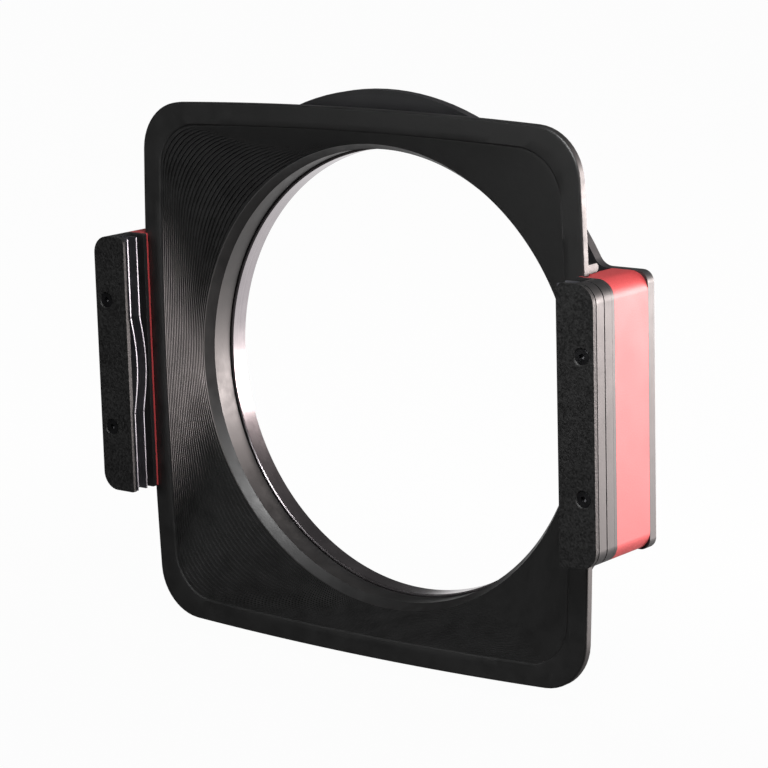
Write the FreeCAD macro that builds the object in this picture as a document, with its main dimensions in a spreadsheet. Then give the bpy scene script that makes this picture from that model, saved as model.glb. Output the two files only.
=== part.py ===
import FreeCAD
import Part
import math
import os
import Sketcher
from FreeCAD import Placement, Rotation, Vector

# Square filter holder, in millimetres.
# X is to the right, Z is up and +Y runs along the optical axis from the scene to the lens.
# The origin is on the optical axis, in the rear face of the lens ring.
# Inside each piece, y is a station: 0 at the front faces of the guides, growing towards the lens.

SHEET = "Sizes"

DRIVING = {
    # Filters and guides
    "filter_side": 150.0,  # width of the square filter that the slots take
    "filter_play": 0.25,  # play at each side edge of the filter
    "filter_grip": 4.2,  # how far each guide covers the filter
    "slot_wall": 6.35,  # width of the bars beside the filter
    "guide_tall": 70.4,  # height of both guides
    "guide_round": 4.8,  # outer corners of the guides
    "lead_round": 2.0,  # upper inner corner of the front plates
    "inner_round": 0.4,  # other inner corners of the guides
    "edge_break": 0.2,  # broken edges of the plates and bars
    "plate_thick": 1.2,
    "slot_depth": 3.1,
    "shim_thick": 1.2,
    "block_depth": 14.5,
    "screw_inset": 3.6,  # from the guides' outer faces to the long screws
    "screw_pitch": 35.2,
    # Leaf springs
    "leaf_thick": 0.35,
    "leaf_reach": 0.45,  # how far the leaves stand out past the front plates
    "leaf_inset": 0.3,  # how far they stay back from the guides' outer faces
    "leaf_bow": 1.7,
    "leaf_free": 26.0,  # length of the bowed stretch
    "leaf_slit": 0.4,
    # Long guide screws
    "screw_head": 2.2,
    "screw_shank": 1.25,
    "screw_play": 0.05,
    "screw_sunk": 0.1,
    "screw_short": 1.1,  # how far its end stays inside the main frame
    "socket_half": 0.75,  # half of the hexagon across its flats
    "socket_depth": 0.8,
    # Light hood
    "hood_back": 0.8,  # from the shims' rear faces to the hood's front face
    "hood_grip": 1.8,  # how far its rim reaches into the spacer blocks
    "hood_reach": 22.6,  # how much further its corners are from the axis than its sides
    "corner_share": 0.755,  # 1 would bring the corners' rounds to flat sides, less bows the sides
    "hood_play": 0.15,
    "rim_thick": 2.4,
    "rim_width": 6.0,
    "rim_corner_width": 7.9,
    "hood_wall": 2.0,
    "steps": 10,
    "funnel_flare": 1.6,  # how much wider the funnel's round end is than the neck
    "cove_long": 2.8,  # the smooth stretch behind the steps
    "land_width": 1.1,  # the flat shoulder where the neck starts
    "land_back": 0.1,  # the shoulder's distance in front of the main frame
    "neck_wide": 0.7,  # how much wider the neck is than the lens ring
    "neck_wall": 1.6,
    "neck_back": 0.4,  # how far its end stays inside the main frame
    "seat_play": 1.2,  # from the seat to the spacer blocks
    "seat_thick": 2.0,
    "boss_radius": 2.8,
    "boss_long": 5.6,
    "tab_tall": 2.2,
    "tab_thick": 2.0,
    "tab_long": 4.4,
    # Main frame
    "disc_rim": 6.0,  # how far the disc stands out around the collar
    "disc_thick": 2.8,
    "ear_round": 3.0,
    "ear_root": 4.0,  # concave corner between disc and ear
    "neck_play": 0.1,
    "collar_wall": 4.0,
    "lip_thick": 3.6,
    # Lens ring
    "bore_inset": 11.0,  # from the guides' inner faces to the ring's bore
    "ring_wall": 3.3,
    "ring_long": 5.6,
    "flange_wide": 2.5,
    "flange_thick": 3.4,
    "turn_play": 0.3,  # radial room of the turning ring
    "face_play": 0.2,  # axial room of the turning ring
    # Retaining ring and its screws
    "keeper_thick": 1.2,
    "keeper_inset": 0.2,
    "small_head": 1.7,
    "small_head_tall": 0.5,
    "small_shank": 0.9,
    "small_long": 4.6,
    "small_count": 4,
    # Screws that hold the hood
    "hood_screw_long": 6.0,
    "hood_screw_turn": 60.0,  # angle of the first one above the X axis
    # Lock screw
    "lock_shank": 1.25,
    "lock_play": 0.08,
    "lock_head": 3.8,
    "lock_head_tall": 5.0,
    "lock_neck": 1.0,
    "knurls": 24,
    "knurl_deep": 0.35,
}

SIDES = {"left": -1, "right": 1}
ENDS = {"upper": 1, "lower": -1}
SMALL = 1e-6
PAST = 1.0  # how far a cutting shape runs past what it cuts
SUNK = 0.5  # how far the hood's fused shapes run into each other
NEARLY_ROUND = 0.98  # share of the funnel's depth at which its outer wall ends


class Size:
    """A size: its number now, and the expression that ties it to the sheet."""

    def __init__(self, number, text):
        self.number = float(number)
        self.text = text

    @staticmethod
    def of(value):
        if isinstance(value, Size):
            return value
        return Size(value, repr(float(value)))

    def __add__(self, other):
        other = Size.of(other)
        return Size(self.number + other.number, f"({self.text} + {other.text})")

    def __sub__(self, other):
        other = Size.of(other)
        return Size(self.number - other.number, f"({self.text} - {other.text})")

    def __mul__(self, other):
        other = Size.of(other)
        return Size(self.number * other.number, f"({self.text} * {other.text})")

    def __truediv__(self, other):
        other = Size.of(other)
        return Size(self.number / other.number, f"({self.text} / {other.text})")

    def __neg__(self):
        return Size(-self.number, f"(0 - {self.text})")

    __radd__ = __add__
    __rmul__ = __mul__


ZERO = Size(0, "0")


def make_sheet(doc):
    """Writes the driving sizes and returns each one under its alias."""
    sheet = doc.addObject("Spreadsheet::Sheet", SHEET)
    for row, (alias, number) in enumerate(DRIVING.items(), start=1):
        sheet.set(f"A{row}", alias)
        sheet.set(f"B{row}", str(number))
        sheet.setAlias(f"B{row}", alias)
    doc.recompute()
    return {alias: Size(sheet.get(alias), f"{SHEET}.{alias}") for alias in DRIVING}


class Layout:
    """Places that several pieces share, worked out once from the driving sizes."""

    def __init__(self, s):
        self.slot_bottom = s["filter_side"] / 2 + s["filter_play"]
        self.inner = s["filter_side"] / 2 - s["filter_grip"]
        self.outer = self.slot_bottom + s["slot_wall"]
        self.top = s["guide_tall"] / 2
        self.screw_x = self.outer - s["screw_inset"]
        self.screw_z = s["screw_pitch"] / 2
        self.plate_rear = s["plate_thick"]
        self.leaf_rear = {"front": self.plate_rear + s["leaf_thick"]}
        self.bar_rear = {"front": self.leaf_rear["front"] + s["slot_depth"]}
        self.leaf_rear["rear"] = self.bar_rear["front"] + s["leaf_thick"]
        self.bar_rear["rear"] = self.leaf_rear["rear"] + s["slot_depth"]
        self.shim_rear = self.bar_rear["rear"] + s["shim_thick"]
        self.block_rear = self.shim_rear + s["block_depth"]
        self.hood_front = self.shim_rear + s["hood_back"]
        self.rim_rear = self.hood_front + s["rim_thick"]
        self.frame_front = self.block_rear
        self.disc_rear = self.frame_front + s["disc_thick"]
        self.lip_rear = self.disc_rear + s["lip_thick"]
        self.ring_front = self.lip_rear + s["face_play"]
        self.flange_rear = self.ring_front + s["flange_thick"]
        self.collar_rear = self.flange_rear + s["face_play"]
        self.keeper_rear = self.collar_rear + s["keeper_thick"]
        self.ring_rear = self.ring_front + s["ring_long"]
        self.land = self.frame_front - s["land_back"]
        self.funnel_rear = self.land - s["cove_long"]
        self.seat_front = self.frame_front - s["seat_thick"]
        self.neck_rear = self.lip_rear - s["neck_back"]
        self.hood_half = self.inner + s["hood_grip"]
        self.hood_corner = self.hood_half + s["hood_reach"]
        self.mouth_half = self.hood_half - s["rim_width"]
        self.mouth_corner = self.hood_corner - s["rim_corner_width"]
        self.seat = self.inner - s["seat_play"]
        self.ring_bore = self.inner - s["bore_inset"]
        self.neck = self.ring_bore + s["neck_wide"]
        self.neck_outer = self.neck + s["neck_wall"]
        self.shoulder = self.neck + s["land_width"]
        self.funnel_end = self.neck + s["funnel_flare"]
        self.frame_bore = self.neck_outer + s["neck_play"]
        self.ring_outer = self.ring_bore + s["ring_wall"]
        self.flange_radius = self.ring_outer + s["flange_wide"]
        self.recess = self.flange_radius + s["turn_play"]
        self.collar = self.recess + s["collar_wall"]
        self.disc = self.collar + s["disc_rim"]
        self.small_circle = (self.recess + self.collar) / 2
        self.hood_screws = (self.collar + self.disc) / 2
        self.lock_y = (self.ring_front + self.flange_rear) / 2
        self.screw_end = self.disc_rear - s["screw_short"]
        self.depth = self.ring_rear


def plain(sizes, layout):
    """All sizes and shared places as plain numbers, for the hood's own solids."""
    places = {name: value.number for name, value in vars(layout).items() if isinstance(value, Size)}
    return {alias: value.number for alias, value in sizes.items()} | places


def rooted(feature, layout, x=ZERO, z=ZERO):
    """Puts a piece in the part's frame: its station 0 lies one overall depth in front of the origin."""
    feature.setExpression("Placement.Base.x", x.text)
    feature.setExpression("Placement.Base.y", (-layout.depth).text)
    feature.setExpression("Placement.Base.z", z.text)


def new_body(doc, name, layout, x=ZERO, z=ZERO):
    body = doc.addObject("PartDesign::Body", name)
    body.Label = name
    rooted(body, layout, x, z)
    return body


def origin_plane(body, role):
    for feature in body.Origin.OriginFeatures:
        if feature.Role == role:
            return feature
    raise ValueError(role)


class Drawing:
    """A sketch on one of a body's origin planes, with every point tied to the sheet."""

    def __init__(self, body, role, name, lift=ZERO, x=ZERO, y=ZERO):
        self.sketch = body.newObject("Sketcher::SketchObject", name)
        self.sketch.AttachmentSupport = [(origin_plane(body, role), "")]
        self.sketch.MapMode = "FlatFace"
        for axis, size in (("x", x), ("y", y), ("z", lift)):
            self.sketch.setExpression(f"AttachmentOffset.Base.{axis}", size.text)

    def hold(self, size, kind, *where):
        index = self.sketch.addConstraint(Sketcher.Constraint(kind, *where, size.number))
        self.sketch.setExpression(f"Constraints[{index}]", size.text)

    def place(self, item, end, x, y):
        """Ties one point of the sketch to its place from the sketch's origin."""
        for kind, size, axis in (("DistanceX", x, -2), ("DistanceY", y, -1)):
            if abs(size.number) < SMALL:
                self.sketch.addConstraint(Sketcher.Constraint("PointOnObject", item, end, axis))
            elif size.number > 0:
                self.hold(size, kind, -1, 1, item, end)
            else:
                self.hold(-size, kind, item, end, -1, 1)

    def outline(self, points):
        """A closed outline of straight lines through the given points."""
        vectors = [Vector(x.number, y.number, 0) for x, y in points]
        count = len(points)
        lines = []
        for start, end in zip(vectors, vectors[1:] + vectors[:1]):
            lines.append(self.sketch.addGeometry(Part.LineSegment(start, end), False))
        for index, line in enumerate(lines):
            follower = lines[(index + 1) % count]
            self.sketch.addConstraint(Sketcher.Constraint("Coincident", line, 2, follower, 1))
        for line, (x, y) in zip(lines, points):
            self.place(line, 1, x, y)

    def rectangle(self, low_x, high_x, low_y, high_y):
        self.outline([(low_x, low_y), (high_x, low_y), (high_x, high_y), (low_x, high_y)])

    def circle(self, radius, x=ZERO, y=ZERO):
        shape = Part.Circle(Vector(x.number, y.number, 0), Vector(0, 0, 1), radius.number)
        item = self.sketch.addGeometry(shape, False)
        if abs(x.number) < SMALL and abs(y.number) < SMALL:
            self.sketch.addConstraint(Sketcher.Constraint("Coincident", item, 3, -1, 1))
        else:
            self.place(item, 3, x, y)
        self.hold(radius, "Radius", item)

    def bowed_band(self, half, rise, thick, front):
        """A band of even thickness along an arc that rises from its two ends, across the sketch's Y."""
        radius = (half * half + rise * rise) / (rise * 2)
        arcs = []
        for level in (front, front + thick):
            low = Vector(level.number, -half.number, 0)
            top = Vector(level.number + rise.number, 0, 0)
            high = Vector(level.number, half.number, 0)
            arcs.append(self.sketch.addGeometry(Part.Arc(low, top, high), False))
        for end, size in ((1, -half), (2, half)):
            for arc, level in zip(arcs, (front, front + thick)):
                self.place(arc, end, level, size)
            ends = [Vector(level.number, size.number, 0) for level in (front, front + thick)]
            line = self.sketch.addGeometry(Part.LineSegment(*ends), False)
            for line_end, arc in zip((1, 2), arcs):
                self.sketch.addConstraint(Sketcher.Constraint("Coincident", line, line_end, arc, end))
        for arc in arcs:
            self.hold(radius, "Radius", arc)


def pad(body, drawing, length, name):
    """Thickens a sketch along its own normal."""
    feature = body.newObject("PartDesign::Pad", name)
    feature.Profile = drawing.sketch
    feature.setExpression("Length", length.text)
    body.Tip = feature
    return feature


def revolve(body, drawing, name):
    """Turns a sketch once round its own vertical axis."""
    feature = body.newObject("PartDesign::Revolution", name)
    feature.Profile = drawing.sketch
    feature.ReferenceAxis = (drawing.sketch, ["V_Axis"])
    feature.Angle = 360
    body.Tip = feature
    return feature


def pocket(doc, body, drawing, name, length=None, turned=False):
    """Cuts a sketch away, right through the piece or to a stated depth."""
    doc.recompute()
    before = body.Shape.Volume
    feature = body.newObject("PartDesign::Pocket", name)
    feature.Profile = drawing.sketch
    if length is None:
        feature.Type = "ThroughAll"
        feature.Midplane = True
    else:
        feature.setExpression("Length", length.text)
        feature.Reversed = turned
    body.Tip = feature
    doc.recompute()
    if before - body.Shape.Volume < SMALL:
        raise RuntimeError(f"{name} cuts nothing")
    return feature


def edge_names(shape, wanted):
    return [f"Edge{index}" for index, edge in enumerate(shape.Edges, start=1) if wanted(edge)]


def runs_along_y_at(x, z):
    """Picks the straight edges along Y that pass through the given place."""
    def wanted(edge):
        ends = [vertex.Point for vertex in edge.Vertexes]
        return len(ends) == 2 and all(
            abs(end.x - x.number) < 1e-3 and abs(end.z - z.number) < 1e-3 for end in ends
        )
    return wanted


def lies_at_y(station):
    """Picks the edges that lie in the plane of one station."""
    def wanted(edge):
        box = edge.BoundBox
        return abs(box.YMin - station.number) < 1e-3 and abs(box.YMax - station.number) < 1e-3
    return wanted


def dress(doc, body, kind, prop, size, wanted, name):
    """Rounds or breaks the edges that the test picks."""
    doc.recompute()
    base = body.Tip
    names = edge_names(base.Shape, wanted)
    if not names:
        raise RuntimeError(f"{name} finds no edge")
    feature = body.newObject(kind, name)
    feature.Base = (base, names)
    feature.setExpression(prop, size.text)
    body.Tip = feature
    return feature


def round_edges(doc, body, radius, wanted, name):
    return dress(doc, body, "PartDesign::Fillet", "Radius", radius, wanted, name)


def break_edges(doc, body, size, wanted, name):
    return dress(doc, body, "PartDesign::Chamfer", "Size", size, wanted, name)


def span(low, high, sign):
    """A stretch of X in rising order on either side of the axis."""
    return (low, high) if sign > 0 else (-high, -low)


# Guides

def guide_bar(doc, name, sizes, layout, sign, inner, rear, thick, lead):
    """A flat bar of a guide, with rounded corners, from one station forward by its thickness."""
    body = new_body(doc, name, layout)
    drawing = Drawing(body, "XZ_Plane", f"{name}_outline", lift=-rear)
    low, high = span(inner, layout.outer, sign)
    drawing.rectangle(low, high, -layout.top, layout.top)
    pad(body, drawing, thick, f"{name}_pad")
    outer_x = layout.outer * sign
    inner_x = inner * sign
    for end, z_sign in ENDS.items():
        corner = runs_along_y_at(outer_x, layout.top * z_sign)
        round_edges(doc, body, sizes["guide_round"], corner, f"{name}_{end}_round")
    upper = runs_along_y_at(inner_x, layout.top)
    round_edges(doc, body, lead, upper, f"{name}_lead_round")
    lower = runs_along_y_at(inner_x, -layout.top)
    round_edges(doc, body, sizes["inner_round"], lower, f"{name}_inner_round")
    return body


def drill_guide(doc, body, name, sizes, layout, sign, rear):
    """The two holes of a guide's long screws, right through."""
    drawing = Drawing(body, "XZ_Plane", f"{name}_holes", lift=-rear)
    radius = sizes["screw_shank"] + sizes["screw_play"]
    for z_sign in ENDS.values():
        drawing.circle(radius, layout.screw_x * sign, layout.screw_z * z_sign)
    pocket(doc, body, drawing, f"{name}_drill")


def front_plate(doc, side, sign, sizes, layout):
    """The sand-blasted cover plate of a guide, countersunk for its two screws."""
    name = f"{side}_front_plate"
    rear = layout.plate_rear
    thick = sizes["plate_thick"]
    body = guide_bar(doc, name, sizes, layout, sign, layout.inner, rear, thick, sizes["lead_round"])
    break_edges(doc, body, sizes["edge_break"], lies_at_y(ZERO), f"{name}_break")
    drill_guide(doc, body, name, sizes, layout, sign, rear)
    hole = sizes["screw_shank"] + sizes["screw_play"]

    def hole_mouth(edge):
        circle = isinstance(edge.Curve, Part.Circle) and abs(edge.Curve.Radius - hole.number) < 1e-3
        return circle and lies_at_y(ZERO)(edge)

    sink = sizes["screw_head"] + sizes["screw_sunk"] - sizes["screw_shank"]
    break_edges(doc, body, sink, hole_mouth, f"{name}_sink")


def leaf_spring(doc, side, sign, slot, sizes, layout):
    """A thin spring plate clamped along the guide, with a bowed bridge that presses on the filter."""
    name = f"{side}_{slot}_leaf"
    rear = layout.leaf_rear[slot]
    front = rear - sizes["leaf_thick"]
    free = sizes["leaf_free"] / 2
    tall = layout.top - sizes["leaf_inset"]
    near = layout.inner - sizes["leaf_reach"]
    far = layout.outer - sizes["leaf_inset"]
    body = new_body(doc, name, layout)
    plate = Drawing(body, "XZ_Plane", f"{name}_outline", lift=-rear)
    window = layout.slot_bottom
    plate.outline([
        (near * sign, -tall), (far * sign, -tall), (far * sign, tall), (near * sign, tall),
        (near * sign, free), (window * sign, free), (window * sign, -free), (near * sign, -free),
    ])
    pad(body, plate, sizes["leaf_thick"], f"{name}_pad")
    for end, z_sign in ENDS.items():
        corner = runs_along_y_at(far * sign, tall * z_sign)
        round_edges(doc, body, sizes["guide_round"], corner, f"{name}_{end}_round")
    low, high = span(near, window - sizes["leaf_slit"], sign)
    bridge = Drawing(body, "YZ_Plane", f"{name}_bow_outline", lift=low)
    bridge.bowed_band(free + sizes["leaf_thick"], sizes["leaf_bow"], sizes["leaf_thick"], front)
    pad(body, bridge, high - low, f"{name}_bow")
    drill_guide(doc, body, name, sizes, layout, sign, rear)


def slot_bar(doc, side, sign, slot, sizes, layout):
    """The bar that sets the depth of one filter slot and closes it on the outside."""
    name = f"{side}_{slot}_slot_bar"
    rear = layout.bar_rear[slot]
    depth = sizes["slot_depth"]
    lead = sizes["inner_round"]
    body = guide_bar(doc, name, sizes, layout, sign, layout.slot_bottom, rear, depth, lead)
    break_edges(doc, body, sizes["edge_break"], lies_at_y(rear), f"{name}_rear_break")
    break_edges(doc, body, sizes["edge_break"], lies_at_y(rear - depth), f"{name}_front_break")
    drill_guide(doc, body, name, sizes, layout, sign, rear)


def slot_shim(doc, side, sign, sizes, layout):
    """The thin bar behind the rear slot, as wide as the spacer block, so that it is the slot's rear wall."""
    name = f"{side}_slot_shim"
    rear = layout.shim_rear
    lead = sizes["inner_round"]
    body = guide_bar(doc, name, sizes, layout, sign, layout.inner, rear, sizes["shim_thick"], lead)
    front = rear - sizes["shim_thick"]
    break_edges(doc, body, sizes["edge_break"], lies_at_y(front), f"{name}_front_break")
    drill_guide(doc, body, name, sizes, layout, sign, rear)


def spacer_block(doc, side, sign, sizes, layout):
    """The coloured block that carries a guide in front of the main frame and grips the hood's rim."""
    name = f"{side}_spacer_block"
    rear = layout.block_rear
    depth = sizes["block_depth"]
    lead = sizes["inner_round"]
    body = guide_bar(doc, name, sizes, layout, sign, layout.inner, rear, depth, lead)
    break_edges(doc, body, sizes["edge_break"], lies_at_y(rear), f"{name}_rear_break")
    break_edges(doc, body, sizes["edge_break"], lies_at_y(rear - depth), f"{name}_front_break")
    groove = Drawing(body, "XY_Plane", f"{name}_groove_outline", lift=-layout.top)
    low, high = span(layout.inner - PAST, layout.hood_half + sizes["hood_play"], sign)
    groove.rectangle(low, high, layout.hood_front - sizes["hood_play"], layout.rim_rear + sizes["hood_play"])
    pocket(doc, body, groove, f"{name}_groove")
    drill_guide(doc, body, name, sizes, layout, sign, rear)


def guide_screw(doc, side, sign, end, z_sign, sizes, layout):
    """A long countersunk screw with a hexagon socket, through the guide into the main frame."""
    name = f"{side}_{end}_guide_screw"
    body = new_body(doc, name, layout, layout.screw_x * sign, layout.screw_z * z_sign)
    top = sizes["screw_sunk"]
    cone = sizes["screw_head"] - sizes["screw_shank"]
    profile = Drawing(body, "XY_Plane", f"{name}_profile")
    profile.outline([
        (ZERO, top), (sizes["screw_head"], top), (sizes["screw_shank"], top + cone),
        (sizes["screw_shank"], layout.screw_end), (ZERO, layout.screw_end),
    ])
    revolve(body, profile, f"{name}_turned")
    socket = Drawing(body, "XZ_Plane", f"{name}_socket_outline", lift=-top)
    reach = sizes["socket_half"] / math.cos(math.pi / 6)
    corners = [math.radians(60 * index) for index in range(6)]
    socket.outline([(reach * math.cos(turn), reach * math.sin(turn)) for turn in corners])
    pocket(doc, body, socket, f"{name}_socket", length=sizes["socket_depth"])


# Light hood

def bulged_square(half, corner, share, station):
    """A square with bowed sides and round corners in the plane of one station.

    half is the distance from the axis to the middle of a side, corner the distance to the middle
    of a rounded corner. The corners' radius is a share of the one that would leave the sides flat,
    and the sides' radius makes sides and corners tangent.
    """
    flat_round = (half - corner / math.sqrt(2)) / (1 - 1 / math.sqrt(2))
    round_radius = share * flat_round
    centre = (corner - round_radius) / math.sqrt(2)
    gap = centre - half
    side_radius = (round_radius ** 2 - centre ** 2 - gap ** 2) / (2 * (gap + round_radius))
    lean = math.atan2(centre, gap + side_radius)
    edges = []
    for quarter in range(4):
        turn = Rotation(Vector(0, 1, 0), -90 * quarter)

        def place(x, z):
            return turn.multVec(Vector(x, 0, z)) + Vector(0, station, 0)

        def on_side(angle):
            x = half - side_radius + side_radius * math.cos(angle)
            return place(x, side_radius * math.sin(angle))

        def on_corner(angle):
            x = centre + round_radius * math.cos(angle)
            return place(x, centre + round_radius * math.sin(angle))

        edges.append(Part.Arc(on_side(-lean), on_side(0), on_side(lean)).toShape())
        corner_ends = (on_corner(lean), on_corner(math.pi / 2 - lean))
        edges.append(Part.Arc(corner_ends[0], on_corner(math.pi / 4), corner_ends[1]).toShape())
    return Part.Wire(edges)


def prism(wire, length):
    return Part.Face(wire).extrude(Vector(0, length, 0))


def cylinder(radius, front, rear, x=0.0, z=0.0):
    return Part.makeCylinder(radius, rear - front, Vector(x, front, z), Vector(0, 1, 0))


def funnel_outline(size, share, station, grow=0.0):
    """The funnel's outline at one share of its depth: 0 at the mouth, near 1 at its round end."""
    half = size["mouth_half"] + (size["funnel_end"] - size["mouth_half"]) * share + grow
    corner = size["mouth_corner"] + (size["funnel_end"] - size["mouth_corner"]) * share + grow
    return bulged_square(half, corner, size["corner_share"], station)


def hood_rim(size):
    outline = bulged_square(size["hood_half"], size["hood_corner"], size["corner_share"], size["hood_front"])
    return prism(outline, size["rim_thick"])


def hood_shell(size):
    """The funnel's wall and the sleeve behind it, still without their hollow.

    The wall lies outside the hollow and behind it by the same thickness, so that the steps leave
    it whole at the flat-lying corners as well as at the steep sides.
    """
    wall = size["hood_wall"]
    deep = size["funnel_rear"] - size["hood_front"]
    front = size["rim_rear"] - SUNK
    mouth = funnel_outline(size, (front - wall - size["hood_front"]) / deep, front, wall)
    rear = size["hood_front"] + NEARLY_ROUND * deep + wall
    tail = funnel_outline(size, NEARLY_ROUND, rear, wall)
    sleeve = cylinder(size["funnel_end"] + wall, size["funnel_rear"] - SUNK, size["frame_front"])
    return [Part.makeLoft([mouth, tail], True, True), sleeve]


def hood_steps(size):
    """The stepped hollow of the funnel: one prism to each step, smaller towards the lens."""
    count = int(size["steps"])
    step = (size["funnel_rear"] - size["hood_front"]) / count
    prisms = [prism(funnel_outline(size, 0, size["hood_front"] - PAST), step + PAST)]
    for index in range(1, count):
        outline = funnel_outline(size, index / count, size["hood_front"] + index * step)
        prisms.append(prism(outline, step))
    return prisms


def hood_tabs(size):
    """The four round-ended tabs that reach back over the ends of the spacer blocks."""
    end_radius = size["tab_tall"] / 2
    low = size["top"] + size["hood_play"]
    front = size["rim_rear"] - SUNK
    rear = size["rim_rear"] + size["tab_long"] - end_radius
    near = size["inner"] - size["tab_thick"] / 2
    tabs = []
    for sign in SIDES.values():
        x = near if sign > 0 else -near - size["tab_thick"]
        for z_sign in ENDS.values():
            z = (low + end_radius) * z_sign
            corner = Vector(x, front, z - end_radius)
            tabs.append(Part.makeBox(size["tab_thick"], rear - front, size["tab_tall"], corner))
            tabs.append(Part.makeCylinder(end_radius, size["tab_thick"], Vector(x, rear, z), Vector(1, 0, 0)))
    return tabs


def boss_rib(size, turn):
    """The rib that joins one screw boss to the funnel's wall, at an angle above the X axis."""
    radius = size["boss_radius"]
    start = Vector(size["neck_outer"], size["frame_front"] - size["boss_long"], -radius)
    rib = Part.makeBox(size["hood_screws"] - size["neck_outer"], size["boss_long"], 2 * radius, start)
    rib.rotate(Vector(0, 0, 0), Vector(0, 1, 0), -turn)
    return rib


def hood_bosses(size):
    front = size["frame_front"] - size["boss_long"]
    bosses = []
    for turn in hood_screw_turns(size["hood_screw_turn"]):
        x, z = on_circle(size["hood_screws"], turn)
        bosses.append(cylinder(size["boss_radius"], front, size["frame_front"], x, z))
        bosses.append(boss_rib(size, turn))
    return bosses


def hood_screw_turns(turn):
    """Angles of the hood's four screws above the X axis, in degrees."""
    return [turn, 180 - turn, 180 + turn, 360 - turn]


def on_circle(radius, turn):
    """X and Z of a place on a circle about the axis, at an angle in degrees above the X axis."""
    return radius * math.cos(math.radians(turn)), radius * math.sin(math.radians(turn))


def light_hood(doc, sizes, layout):
    """The moulded hood: a bowed square rim, a stepped funnel and a round neck."""
    size = plain(sizes, layout)
    seat = cylinder(size["seat"], size["seat_front"], size["frame_front"])
    neck = cylinder(size["neck_outer"], size["frame_front"] - SUNK, size["neck_rear"])
    solid = hood_rim(size).fuse(hood_shell(size) + [seat, neck] + hood_bosses(size) + hood_tabs(size))
    centre = Vector(0, size["funnel_rear"], 0)
    cove = Part.makeCone(size["funnel_end"], size["shoulder"], size["cove_long"], centre, Vector(0, 1, 0))
    bore = cylinder(size["neck"], size["land"] - SUNK, size["neck_rear"] + PAST)
    hole_radius = size["small_shank"] + size["screw_play"]
    hole_front = size["disc_rear"] - size["hood_screw_long"] - 2 * size["screw_play"]
    holes = []
    for turn in hood_screw_turns(size["hood_screw_turn"]):
        x, z = on_circle(size["hood_screws"], turn)
        holes.append(cylinder(hole_radius, hole_front, size["frame_front"] + PAST, x, z))
    solid = solid.cut(hood_steps(size) + [cove, bore] + holes).removeSplitter()
    feature = doc.addObject("Part::Feature", "light_hood")
    feature.Label = "light_hood"
    feature.Shape = solid.Solids[0] if len(solid.Solids) == 1 else solid
    feature.Placement = Placement(Vector(0, -layout.depth.number, 0), Rotation())


# Main frame, lens ring and what holds them

def small_turns():
    """Angles of the keeper's screws in degrees, clear of the lock screw at the bottom."""
    count = int(DRIVING["small_count"])
    return [360 * (index + 0.5) / count for index in range(count)]


def hole_ring(doc, body, name, sizes, circle, turns, rear, length=None):
    """Holes for small screws on one circle, right through or to a depth from the given station."""
    drawing = Drawing(body, "XZ_Plane", f"{name}_outline", lift=-rear)
    radius = sizes["small_shank"] + sizes["screw_play"]
    for turn in turns:
        drawing.circle(radius, *on_circle_sized(circle, turn))
    pocket(doc, body, drawing, name, length=length, turned=True)


def on_circle_sized(circle, turn):
    """X and Z of a place on a circle about the axis, still tied to the sheet."""
    x, z = on_circle(1, turn)
    return circle * x, circle * z


def frame_ears(doc, body, name, sizes, layout):
    """The bar across the disc whose ends are the ears, rounded where it meets the disc."""
    ears = Drawing(body, "XZ_Plane", f"{name}_ears_outline", lift=-layout.disc_rear)
    ears.rectangle(-layout.outer, layout.outer, -layout.top, layout.top)
    pad(body, ears, sizes["disc_thick"], f"{name}_ears")
    root_x = Size.of(math.sqrt(layout.disc.number ** 2 - layout.top.number ** 2))
    for side, sign in SIDES.items():
        for end, z_sign in ENDS.items():
            corner = runs_along_y_at(layout.outer * sign, layout.top * z_sign)
            round_edges(doc, body, sizes["ear_round"], corner, f"{name}_{side}_{end}_round")
            root = runs_along_y_at(root_x * sign, layout.top * z_sign)
            round_edges(doc, body, sizes["ear_root"], root, f"{name}_{side}_{end}_root")


def main_frame(doc, sizes, layout):
    """The disc with its two ears and the collar that the lens ring turns in."""
    name = "main_frame"
    body = new_body(doc, name, layout)
    profile = Drawing(body, "XY_Plane", f"{name}_profile")
    profile.outline([
        (ZERO, layout.frame_front), (layout.disc, layout.frame_front), (layout.disc, layout.disc_rear),
        (layout.collar, layout.disc_rear), (layout.collar, layout.collar_rear), (ZERO, layout.collar_rear),
    ])
    revolve(body, profile, f"{name}_turned")
    frame_ears(doc, body, name, sizes, layout)
    bore = Drawing(body, "XZ_Plane", f"{name}_bore_outline", lift=-layout.disc_rear)
    bore.circle(layout.frame_bore)
    pocket(doc, body, bore, f"{name}_bore")
    recess = Drawing(body, "XZ_Plane", f"{name}_recess_outline", lift=-layout.collar_rear)
    recess.circle(layout.recess)
    pocket(doc, body, recess, f"{name}_recess", length=layout.collar_rear - layout.lip_rear, turned=True)
    for side, sign in SIDES.items():
        drill_guide(doc, body, f"{name}_{side}", sizes, layout, sign, layout.disc_rear)
    turns = hood_screw_turns(DRIVING["hood_screw_turn"])
    hole_ring(doc, body, f"{name}_hood_holes", sizes, layout.hood_screws, turns, layout.disc_rear)
    depth = sizes["small_long"] - sizes["keeper_thick"]
    rear = layout.collar_rear
    hole_ring(doc, body, f"{name}_keeper_holes", sizes, layout.small_circle, small_turns(), rear, depth)
    lock = Drawing(body, "XY_Plane", f"{name}_lock_outline", lift=-(layout.collar + PAST))
    lock.circle(sizes["lock_shank"] + sizes["lock_play"], ZERO, layout.lock_y)
    reach = layout.collar + PAST - layout.recess + PAST
    pocket(doc, body, lock, f"{name}_lock", length=reach, turned=True)


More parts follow.
